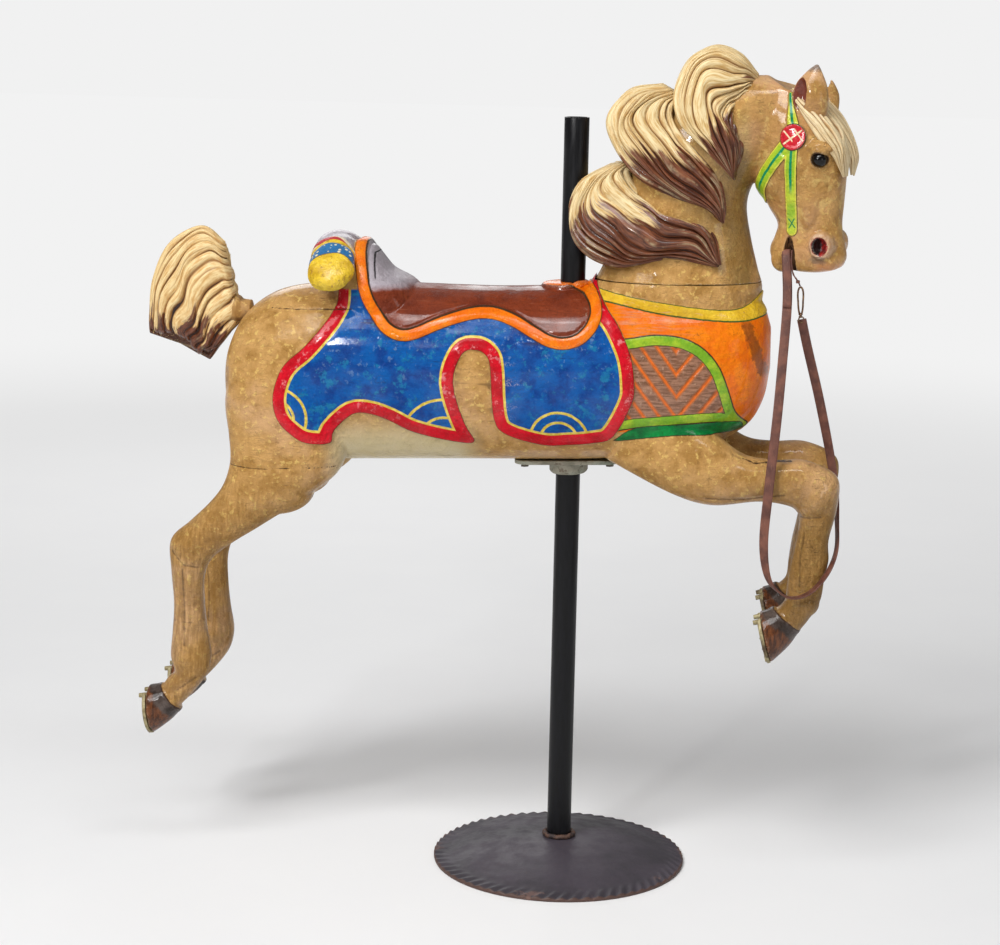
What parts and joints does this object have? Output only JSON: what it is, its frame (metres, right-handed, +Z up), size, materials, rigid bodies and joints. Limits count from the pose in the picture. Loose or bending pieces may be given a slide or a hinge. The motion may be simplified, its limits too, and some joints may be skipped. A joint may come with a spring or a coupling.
{
  "type": "carousel horse on its pole and disc stand",
  "caption": "Carved and painted jumper horse for a carousel, set on a steel pole that stands on a dished round base with a fluted rim.",
  "frame": {"origin": "on the floor, under the middle of the box round the horse, its pole and its disc, the rein left out", "axes": "+X towards the horse's head, -Y towards the public's side, which is the horse's right flank, +Z up along the pole"},
  "size_m": [1.3888, 0.508, 1.6453],
  "materials": {
    "carved_horse": "many coats of worn paint under glossy yellowed varnish: tan body, blue blanket with a red edge, brown saddle with an orange edge, yellow, orange and green breast collar, cream and brown mane",
    "carved_tail": "cream paint worn to brown at the tips, varnished",
    "eye_glass": "black glass, polished",
    "shoe_metal": "worn pale paint on iron",
    "pole_paint": "satin black",
    "disc_paint": "satin black with rust brown on the fluted edge",
    "flange_casting": "dull grey-green paint on a casting",
    "bolt_metal": "dull zinc",
    "pin_metal": "brown oxidised steel",
    "rein_leather": "old brown harness leather, waxed and cracked at the edges",
    "hook_metal": "dark tarnished wire"
  },
  "bodies": {
    "root": {"horse": "carved_horse", "tail": "carved_tail", "eye_right": "eye_glass", "eye_left": "eye_glass", "horseshoe_fore_right": "shoe_metal", "horseshoe_fore_left": "shoe_metal", "horseshoe_hind_right": "shoe_metal", "horseshoe_hind_left": "shoe_metal", "pole": "pole_paint", "base_disc": "disc_paint", "belly_flange": "flange_casting", "flange_bolt_1": "bolt_metal", "flange_bolt_2": "bolt_metal", "flange_bolt_3": "bolt_metal", "flange_bolt_4": "bolt_metal", "pole_pin": "pin_metal", "rein_strap": "rein_leather", "rein_billet": "rein_leather", "snap_hook": "hook_metal", "hook_thong": "rein_leather"}
  },
  "joints": []
}
